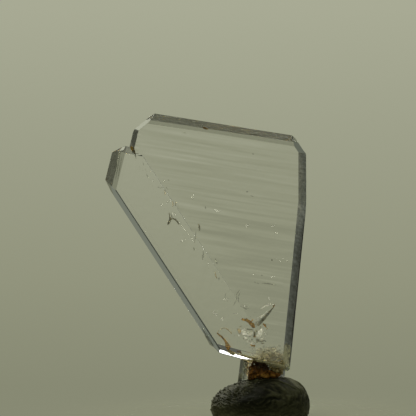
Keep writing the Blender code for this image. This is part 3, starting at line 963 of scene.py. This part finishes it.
def dark_bits():
    b = Bits(23)
    # dark olive films in the clefts: painted shade where the cracks show dark
    b.stroke([(257.6, 325.6), (261, 322), (265.2, 317.2), (269.6, 312), (273.8, 306.4)], [1.8, 2.8, 2.2, 1.5, 0.7], -0.9, jag=0.35)
    b.stroke([(255.6, 325), (256.4, 321.6), (259, 319)], [0.9, 1.1, 0.5], -0.92)
    b.stroke([(248.6, 329.2), (251.4, 329.4), (253.6, 330.4)], [0.6, 0.9, 0.6], -0.9)
    b.stroke([(254.6, 331), (254.8, 334), (254, 336.6)], [1.4, 2.0, 1.2], -0.9)
    b.stroke([(256.4, 339), (259.4, 341), (262, 341.2), (265, 340.4)], [2.6, 1.8, 1.2, 0.8], -0.9)
    b.stroke([(169.2, 212.6), (169.6, 216), (170.4, 219), (169, 222), (168, 224.8)], [0.7, 1.1, 2.2, 2.6, 1.2], -0.8)
    b.stroke([(170, 219.4), (172.6, 218.4), (175.6, 219.6), (178, 222.6), (179.4, 225)], [1.4, 1.2, 1.6, 1.3, 0.5], -0.75)
    b.stroke([(172, 217.6), (170.8, 213.6)], [0.7, 0.5], -0.7)
    b.stroke([(133.6, 150.4), (135, 153.6), (136, 158.6)], [2.0, 1.3, 0.6], -1.2)
    b.dot(272, 259.9, 1.6, 1.7, -0.9)
    b.dot(233.2, 354.4, 1.8, 1.6, -1.35)
    b.stroke([(198.4, 223.8), (199.4, 227), (199.6, 231)], [0.8, 2.0, 0.7], -0.5)
    for px, py, w, h, t in ((240.5, 326.6, 2.4, 1.0, 10), (247.4, 329.2, 3.4, 1.2, -12), (246.2, 337.4, 2.4, 1.2, 30), (251.8, 339.4, 1.6, 2.2, 0), (257, 341.4, 1.4, 2.0, 20), (262.4, 343.2, 3.2, 1.1, -8), (265.4, 341.2, 2.2, 1.1, 0), (249.6, 336.6, 1.8, 1.4, 0), (243.4, 338.6, 1.4, 1.2, 0), (256.4, 331.2, 1.2, 2.4, 24), (260.4, 326.8, 2.0, 1.4, 40)):
        b.dot(px, py, w, h, -0.55 - 0.02 * (px % 7), t)
    return b.piece("clefts_with_painted_shade", film_material("cleft_with_painted_shade", srgb(72, 65, 34), srgb(130, 121, 82), 0.5, 0.95, 3400.0))


def faint_dark_bits():
    b = Bits(24)
    # faint grey films in the clefts and along the seam: painted shade
    b.plate([(255.8, 327), (256.6, 322.8), (260.4, 319), (265, 314.6), (269.6, 310.4), (273.8, 306.6), (272, 310.8), (268, 316), (264.4, 320.6), (261, 324.6)], -0.88, jag=0.35)
    b.stroke([(195.8, 232), (195.4, 237), (194.4, 242.6)], [0.9, 1.8, 0.8], -0.5)
    b.stroke([(203.2, 251.4), (203, 256), (202.6, 259.6)], [0.8, 1.9, 0.8], -0.5)
    b.stroke([(215, 258.2), (216.4, 262), (217.4, 264)], [0.5, 1.4, 1.0], -0.5)
    b.stroke([(218.6, 277.6), (219.2, 280.4)], [1.3, 1.0], -0.5)
    b.stroke([(239.6, 290), (236.4, 294.6), (236.8, 299.6), (234, 304.4)], [0.6, 1.2, 0.9, 0.6], -0.4)
    b.stroke([(240.4, 291.6), (238.2, 297), (238.4, 302)], [0.4, 0.9, 0.5], -0.4)
    b.stroke([(226, 293), (224.8, 297), (227.6, 301.6)], [0.4, 0.8, 0.4], -0.4)
    b.stroke([(262, 283.2), (268, 283.6), (276, 285)], [0.5, 1.2, 0.5], -1.0)
    b.stroke([(254, 281.8), (258.6, 283.6)], [0.6, 1.0], -1.0)
    b.dot(262, 275.4, 1.8, 1.4, -0.8)
    b.stroke([(240.6, 306), (246, 309), (250, 308.6)], [0.5, 0.9, 0.4], -0.5)
    b.dot(253, 154, 2.4, 1.4, -0.9)
    b.stroke([(146.4, 173.6), (148.4, 178)], [0.7, 1.1], -0.8)
    b.stroke([(157.6, 187.2), (160.4, 188), (163, 187.4)], [0.7, 1.2, 0.6], -0.8)
    b.stroke([(143, 161.6), (143.6, 165)], [0.5, 0.8], -0.8)
    b.dot(168.6, 180.4, 1.5, 1.7, -0.7)
    b.stroke([(166, 186.8), (168, 189.6)], [0.6, 0.9], -0.7)
    b.dot(205.4, 207.4, 1.7, 2.6, -0.6, 10)
    b.dot(194, 249, 2.0, 3.0, -0.6)
    b.dot(247, 191.6, 1.6, 1.3, -0.8)
    b.dot(252, 196, 2.6, 1.2, -0.8, -20)
    return b.piece("faint_clefts_with_painted_shade", film_material("faint_cleft_with_painted_shade", srgb(92, 94, 74), srgb(132, 134, 110), 0.12, 0.6, 3000.0))


def milky_and_glint_bits():
    b = Bits(25)
    # white spots: partly milky veils, partly painted glints
    for px, py, w, h, t in (
        (247.4, 226, 5.0, 1.9, 12), (273, 225.8, 4.4, 1.6, -14), (276, 233, 3.4, 1.8, 0), (181.6, 241, 5.0, 1.7, -6), (192.4, 197.6, 2.2, 2.4, 0),
        (217, 210.8, 5.6, 1.5, -8), (214.8, 313.2, 6.2, 2.0, -34), (222.4, 318.8, 4.4, 1.8, 42), (226.4, 299, 4.6, 1.6, 4), (167.6, 202, 1.9, 2.2, 20),
        (174.6, 214.4, 4.2, 1.7, -30), (161.6, 205, 3.4, 1.2, -10), (153, 180.6, 1.6, 1.4, 0), (164, 180.8, 1.8, 1.6, 0), (170, 200, 1.6, 1.8, 0), (297.6, 214, 1.2, 2.6, 0),
        (272.6, 276.6, 5.4, 1.0, -8), (283, 258.6, 1.8, 1.0, 20), (287, 261.6, 2.2, 1.1, -20), (280, 260.8, 1.0, 1.0, 0), (276.6, 258.4, 1.0, 1.0, 0), (235, 313.4, 5.0, 0.9, -10),
        (184.4, 132.8, 3.6, 0.9, -6), (288.6, 352, 1.0, 3.4, 0), (193.6, 194, 1.0, 2.0, 0), (220, 323.8, 1.2, 0.9, 0), (208.6, 263.4, 1.6, 2.4, 0), (269, 298, 1.2, 1.8, 0), (253.4, 274, 2.6, 1.0, 6),
    ):
        b.dot(px, py, w * 1.15, h * 1.35, -1.45 if py < 300 else -0.9, t, jag=0.15)
    b.stroke([(177.6, 221), (184, 228.6), (190, 236), (194.6, 242.6)], [0.3, 0.5, 0.45, 0.3], -0.6)
    # a painted glint
    b.stroke([(243, 305.2), (246, 306.8), (248.4, 306.4)], [1.2, 1.7, 0.7], -1.0)
    return b.piece("milky_spots_and_glints", film_material("milky_and_glint_film", srgb(230, 230, 210), srgb(250, 250, 238), 0.22, 0.55, 1800.0, share=1.0))


def painted_glint_bits():
    b = Bits(26)
    # white films where cracks and the plate's corner would mirror the lamps: painted glints
    b.stroke([(260.6, 309), (263.2, 307.2), (266, 305.6), (269.6, 304.4), (271.4, 304.8)], [0.6, 1.5, 1.7, 1.5, 0.6], -1.0)
    b.stroke([(272.2, 304.6), (275, 304.6)], [1.0, 0.9], -1.0)
    b.stroke([(255.2, 321.4), (257.8, 319), (261, 316.6), (264.2, 314.2), (267.4, 311.4)], [1.0, 2.1, 1.9, 1.1, 0.4], -1.0)
    b.plate([(240.8, 331), (243.4, 331.2), (245.6, 330.8), (247.4, 332.4), (246.8, 334.8), (244.4, 334.4), (242.4, 335.4)], -0.7, jag=0.5)
    b.plate([(248.2, 330.4), (252.2, 330.2), (253.6, 332), (252.6, 334), (250.8, 334.8), (251, 336.4), (249, 335), (247.8, 332.6)], -0.8, jag=0.5)
    b.plate([(256, 336.6), (257.4, 333.6), (260.2, 331.4), (261, 328.8), (263, 328), (263.4, 331.4), (261.6, 334.4), (259, 337.4), (257.2, 338)], -0.8, jag=0.5)
    b.plate([(244, 336.6), (247.4, 337.6), (246.8, 339.4), (244.6, 339)], -0.85, jag=0.5)
    b.plate([(260.4, 338.4), (262.8, 338.2), (263.6, 340), (261.2, 340.4)], -0.95)
    b.plate([(246.6, 340.4), (249, 340), (248.4, 342), (247, 342.2)], -0.85, jag=0.4)
    b.dot(261.4, 339.2, 2.6, 2.0, -0.8, 10)
    b.stroke([(241, 331), (244.6, 329.6), (248, 331)], [0.6, 1.3, 0.7], -1.2)
    b.stroke([(256.8, 335.4), (259.6, 331), (262.6, 328.4)], [0.7, 1.6, 0.9], -1.2)
    b.stroke([(249.8, 333.6), (252, 331.4), (254.2, 330.6)], [0.7, 1.4, 0.7], -1.2)
    b.stroke([(259.4, 340.6), (263.2, 340)], [1.2, 0.8], -1.2)
    b.dot(248.6, 335, 2.0, 1.6, -0.7, 10)
    b.dot(257.6, 338.6, 1.6, 1.4, -0.7)
    b.plate([(249.2, 341.8), (251.6, 341.4), (254.8, 343.4), (255, 344.8), (252, 344.6), (249.8, 343.6)], -1.3, jag=0.12)
    b.dot(238.4, 335, 1.6, 2.2, -0.6, 24)
    b.dot(264.6, 334, 1.2, 2.4, -0.6, 24)
    b.dot(286.8, 366.2, 2.0, 1.6, -1.45)
    b.stroke([(288.4, 359), (288.2, 363), (287.4, 366.4)], [0.7, 0.8, 0.9], -1.4)
    b.dot(258.2, 367, 2.6, 3.2, -1.56, 10, in_glass=False)
    return b.piece("painted_glint_flakes", film_material("painted_glint_flake", srgb(228, 224, 196), srgb(255, 255, 246), 0.55, 1.0, 5200.0, share=1.0))


def on_foot(px, py):
    """Depth of the front half of the foot facet at a place in the frame."""
    top = 353.3 + (px - 235) * 0.243
    return -1.70 + 0.80 * min(1.0, max(0.0, (py - top) / 4.8))


def on_facet(px, py):
    """The same for a film on the outside of the facet."""
    return on_foot(px, py - 1.0) - 0.04


def foot_stains():
    edge = Bits(28)
    # tan films that trim the top and bottom of the bright strip along the foot: painted shade
    edge.plate([(236, 354.2), (242, 354.8), (249, 356.4), (256.4, 358.2), (257, 359.9), (253, 359.2), (249, 358.65), (245.4, 357.45), (242, 356.3), (238.6, 355.35), (236.2, 354.7)], on_facet, thick=0.02, ripple=0.0, in_glass=False, jag=0.06)
    edge.plate([(226.2, 350.2), (230, 351.2), (234.7, 352.5), (234.9, 354.9), (233.3, 355.8), (231, 354.7), (228.2, 352.8)], on_facet, thick=0.02, ripple=0.0, in_glass=False, jag=0.12)
    edge.plate([(239.6, 358.5), (242, 358.8), (245.6, 359.0), (249, 359.0), (253, 359.5), (256.4, 360.3), (257.2, 363.2), (249, 361.6), (242, 359.9)], on_facet, thick=0.02, ripple=0.0, in_glass=False, jag=0.06)
    edge.dot(233.4, 354.6, 2.6, 2.4, lambda x, y: on_foot(x, y) - 0.01, thick=0.02, ripple=0.0, in_glass=False)
    edge.piece("painted_shade_strip_edges", film_material("painted_shade_strip_edges", srgb(146, 138, 100), srgb(206, 196, 156), 1.0, 1.0, 2600.0, share=0.4))
    b = Bits(27)
    b.plate([(253, 356.8), (262, 358.8), (272, 361.2), (282, 363.8), (284.6, 367.2), (276, 365.6), (264, 362.8), (254, 360.6)], lambda x, y: -1.66, thick=0.012, ripple=0.0, in_glass=False, jag=0.5)
    b.plate([(233, 351.9), (240, 353.4), (250, 355.8), (257, 357.4), (257.6, 361.8), (254, 360.1), (249, 358.4), (243, 356.3), (238.6, 354.8), (235, 354.3)], on_foot, thick=0.012, ripple=0.0, in_glass=False, jag=0.2)
    b.plate([(231.6, 352.2), (234.6, 352.6), (234.2, 355.2), (232.4, 354.6)], on_foot, thick=0.012, ripple=0.0, in_glass=False, jag=0.2)
    b.plate([(249, 360.6), (253, 360.2), (258, 361.8), (257.4, 362.8), (252, 361.8)], on_foot, thick=0.012, ripple=0.0, in_glass=False, jag=0.2)
    b.plate([(257, 359.2), (266, 361.4), (276, 363.8), (284.6, 366.0), (284.6, 369.0), (276, 366.9), (266, 364.6), (257.6, 362.4)], on_foot, thick=0.012, ripple=0.0, in_glass=False, jag=0.2)
    return b.piece("foot_stains", film_material("foot_stain", srgb(196, 186, 142), srgb(242, 234, 200), 0.5, 1.0, 2000.0, share=0.8))


def side_edge(py, f):
    """Place across the low end of A's right side face: 0 at its front edge, 1 at its ridge."""
    return 284.0 - (py - 340) * 0.05 + f * (7.8 - (py - 340) * 0.03)


def on_side(px, py):
    """Depth of a film on the outside of that face."""
    f = (px - side_edge(py, 0)) / (side_edge(py, 1) - side_edge(py, 0))
    return -1.60 + 1.18 * min(1.0, max(0.0, f)) - 0.05


def cloud():
    """Ragged wisps of the cloud in the foot, one behind another, with pale films on the foot facet and, as painted
    light, over the low end of A's right side.
    """
    b, c, d = Bits(33), Bits(34), Bits(36)
    rng = np.random.default_rng(35)
    made = 0
    while made < 520:
        px, py = rng.normal(269, 9.0), rng.normal(357, 5.2)
        low = 357.6 + (px - 257) * 0.243
        if not (249 < px < 287.5 and 345.5 < py < low + 3.4):
            continue
        made += 1
        bit = b if rng.uniform() < 0.66 else c
        w, h = rng.uniform(1.6, 6.0), rng.uniform(0.8, 2.6)
        turn = rng.uniform(-50, 50)
        k = rng.uniform(0.6, 1.3, 9)
        cs, sn = cos(radians(turn)), sin(radians(turn))
        ring = [(w / 2 * k[i] * cos(t), h / 2 * k[i] * sin(t)) for i, t in enumerate(np.linspace(0, 2 * pi, 10)[:-1])]
        bit.plate([(px + u * cs + v * sn, min(low + 3.8, py - u * sn + v * cs)) for u, v in ring], rng.uniform(-1.3, 0.2), thick=0.01, ripple=0.12, jag=0.1, lean=rng.uniform(-0.8, 0.8))
    while made < 760:
        px = rng.uniform(254, 284)
        low = 357.6 + (px - 257) * 0.243
        py = rng.uniform(low - 1.5, low + 5.0)
        made += 1
        bit = b if rng.uniform() < 0.35 else c
        w, h = rng.uniform(1.6, 4.5), rng.uniform(0.8, 2.4)
        ring = [(w / 2 * k * cos(t), h / 2 * k * sin(t)) for k, t in zip(rng.uniform(0.6, 1.3, 9), np.linspace(0, 2 * pi, 10)[:-1])]
        bit.plate([(px + u, py - v) for u, v in ring], lambda x, y: on_foot(x, y) - 0.02, thick=0.01, ripple=0.03, jag=0.1, in_glass=False)
    while made < 930:
        px = rng.uniform(255, 284)
        py = 361.0 + (px - 257) * 0.243 + rng.uniform(-0.6, 4.2)
        made += 1
        bit = b if rng.uniform() < 0.5 else c
        w, h = rng.uniform(1.4, 3.6), rng.uniform(0.8, 2.2)
        ring = [(w / 2 * k * cos(t), h / 2 * k * sin(t)) for k, t in zip(rng.uniform(0.6, 1.3, 9), np.linspace(0, 2 * pi, 10)[:-1])]
        bit.plate([(px + u, py - v) for u, v in ring], rng.uniform(-1.06, -0.92), thick=0.01, ripple=0.05, jag=0.1, in_glass=False)
    for k, bit in enumerate((b, d, d, c, d, d)):
        low = [(284.8, 369.4), (280, 368), (276, 367.8), (270, 365.8), (266, 365.4), (262, 363.6), (257, 362.2)]
        low = [(x, y + rng.uniform(-0.8, 0.5)) for x, y in low]
        bit.plate([(255.4, 358.6), (266, 361.1), (276, 363.5), (284.6, 365.6), *low], lambda x, y: on_facet(x, y) - 0.015 * k, thick=0.008, ripple=0.0, jag=0.4, in_glass=False)
    # over the low end of the right side: pale films that lighten it, painted light
    while made < 1060:
        py = rng.uniform(344, 365)
        f = rng.uniform(0.05, 0.9)
        made += 1
        bit = c if rng.uniform() < 0.15 else d
        w, h = rng.uniform(1.4, 3.4), rng.uniform(1.4, 4.0)
        ring = [(w / 2 * k * cos(t), h / 2 * k * sin(t)) for k, t in zip(rng.uniform(0.6, 1.2, 9), np.linspace(0, 2 * pi, 10)[:-1])]
        bit.plate([(min(max(side_edge(py, f) + u, side_edge(py, 0)), side_edge(py, 0.97)), py - v) for u, v in ring], on_side, thick=0.008, ripple=0.0, jag=0.05, in_glass=False)
    for top in (344.5, 347, 349, 350.5, 352, 354):
        left = [(side_edge(y, 0.02), y) for y in (top, 358, 366)]
        right_ = [(side_edge(y, 0.93), y) for y in (366, 358, top + 3)]
        ragged = [(side_edge(top, f), top + rng.uniform(-1.5, 2.0)) for f in (0.75, 0.5, 0.25)]
        d.plate(left + right_ + ragged, on_side, thick=0.008, ripple=0.0, jag=0.12, in_glass=False)
    d.piece("pale_film_and_painted_light", film_material("pale_film_and_painted_light", srgb(232, 226, 190), srgb(252, 248, 224), 0.10, 0.55, 1800.0, share=0.1))
    b.piece("cloud_dark", film_material("cloud_dark", srgb(146, 139, 98), srgb(192, 184, 140), 0.05, 0.42, 1800.0))
    c.piece("cloud_pale", film_material("cloud_pale", srgb(210, 198, 150), srgb(248, 242, 212), 0.05, 0.45, 1800.0, share=0.8))


def haze():
    """Cloud of tiny flecks in the foot of the plate, over the crust."""
    rng = np.random.default_rng(31)
    items = []
    while len(items) < 1500:
        px, py = rng.normal(271, 9.5), rng.normal(358, 5.0)
        if not (250 < px < 288 and 342 < py < 363.5 + (px - 250) * 0.12) or py < 366 - (px - 243) * 0.62 * 0.9:
            continue
        y = rng.uniform(-1.45, 0.35)
        size = rng.uniform(0.010, 0.034)
        items.append((spot(px, py, y), size * rng.uniform(0.6, 1.5, 3), rng.uniform(0, 3)))
    # loose flecks higher up, round the clefts
    for _ in range(260):
        px, py = rng.normal(252, 10), rng.normal(335, 9)
        items.append((spot(px, py, rng.uniform(-1.2, 0.2)), rng.uniform(0.008, 0.026) * rng.uniform(0.6, 1.5, 3), rng.uniform(0, 3)))
    # along the twin plane
    for _ in range(150):
        f = rng.uniform(0, 1)
        px, py = 139 + f * 112 + rng.normal(0, 3.0), 163 + f * 160 + rng.normal(0, 3.0)
        items.append((spot(px, py, rng.uniform(-1.3, 0.2)), rng.uniform(0.007, 0.022) * rng.uniform(0.6, 1.6, 3), rng.uniform(0, 3)))
    mesh = lumps("flecks", items, subdivisions=1)
    return add_piece("flecks", mesh, film_material("fleck", srgb(84, 70, 40), srgb(168, 150, 108), 0.3, 0.85, 1500.0))


def golden_grains():
    """Glassy rust-stained grains right of the crust."""
    rng = np.random.default_rng(41)
    items = []
    for px, py, size in (
        (274, 366, 0.26), (277.6, 363.6, 0.24), (281, 366.2, 0.26), (278.4, 368.6, 0.24), (281.2, 369.4, 0.20), (274.8, 370.2, 0.20), (279.6, 372.4, 0.20),
        (271.4, 363, 0.20), (282, 364, 0.18), (270.8, 367.2, 0.18), (281.6, 373.2, 0.16), (276, 373.2, 0.16), (267.8, 361.6, 0.18), (263.4, 359.6, 0.15), (258.4, 359.2, 0.12), (281.6, 361.4, 0.16),
        (280.6, 369.6, 0.24), (280.6, 371.6, 0.2), (277.2, 371.2, 0.22), (279.6, 373.8, 0.16), (282.6, 367.4, 0.18), (273, 369, 0.22), (282, 371, 0.16), (278.6, 366, 0.24),
    ):
        items.append((spot(px, py, rng.uniform(-1.35, -0.75), in_glass=False), size * rng.uniform(0.8, 1.2, 3), rng.uniform(0, 3)))
    mesh = lumps("golden_grains", items, subdivisions=3, uneven=0.35, sharp=2.2)
    mat, n = new_material("stained_grain")
    at = n.place()
    tint = n.mix(n.span(n.noise(2400.0, 4.0, 0.6, at), 0.35, 0.65), (*srgb(136, 116, 62), 1), (*srgb(216, 198, 142), 1))
    shader = n.add(
        "ShaderNodeBsdfPrincipled",
        {"Base Color": tint, "Roughness": n.span(n.noise(1800.0, 3.0, 0.5, at), 0.3, 0.7, 0.02, 0.3), "IOR": 1.5, "Transmission Weight": 0.4},
    )
    n.add("ShaderNodeOutputMaterial", {0: shader.outputs[0]})
    return add_piece("golden_grains", mesh, mat)


rust_bits()
pale_rust_bits()
painted_shade_bits()
dark_bits()
faint_dark_bits()
milky_and_glint_bits()
painted_glint_bits()
foot_stains()
cloud()
haze()
golden_grains()

# ---------------------------------------------------------------- floor
bm = bmesh.new()
bmesh.ops.create_circle(bm, cap_ends=True, segments=96, radius=0.03)
mesh = bpy.data.meshes.new("floor")
bm.to_mesh(mesh)
bm.free()
floor = bpy.data.objects.new("floor", mesh)
floor.location.z = -0.00002
scene.collection.objects.link(floor)
mat, n = new_material("floor")
pos = n.add("ShaderNodeNewGeometry").outputs["Position"]
length = n.add("ShaderNodeVectorMath", {0: pos}, operation="LENGTH").outputs["Value"]
fade = n.span(length, 0.007, 0.026, 1.0, 0.0, smooth=True)
diffuse = n.add("ShaderNodeBsdfDiffuse", {0: (*srgb(124, 126, 111), 1)}).outputs[0]
clear = n.add("ShaderNodeBsdfTransparent").outputs[0]
mix = n.add("ShaderNodeMixShader", {0: fade, 1: clear, 2: diffuse}).outputs[0]
n.add("ShaderNodeOutputMaterial", {0: mix})
mesh.materials.append(mat)

scene.view_settings.view_transform = "Standard"
scene.view_settings.look = "None"
scene.cycles.max_bounces = 32
scene.cycles.transmission_bounces = 32
scene.cycles.glossy_bounces = 12
scene.cycles.transparent_max_bounces = 24
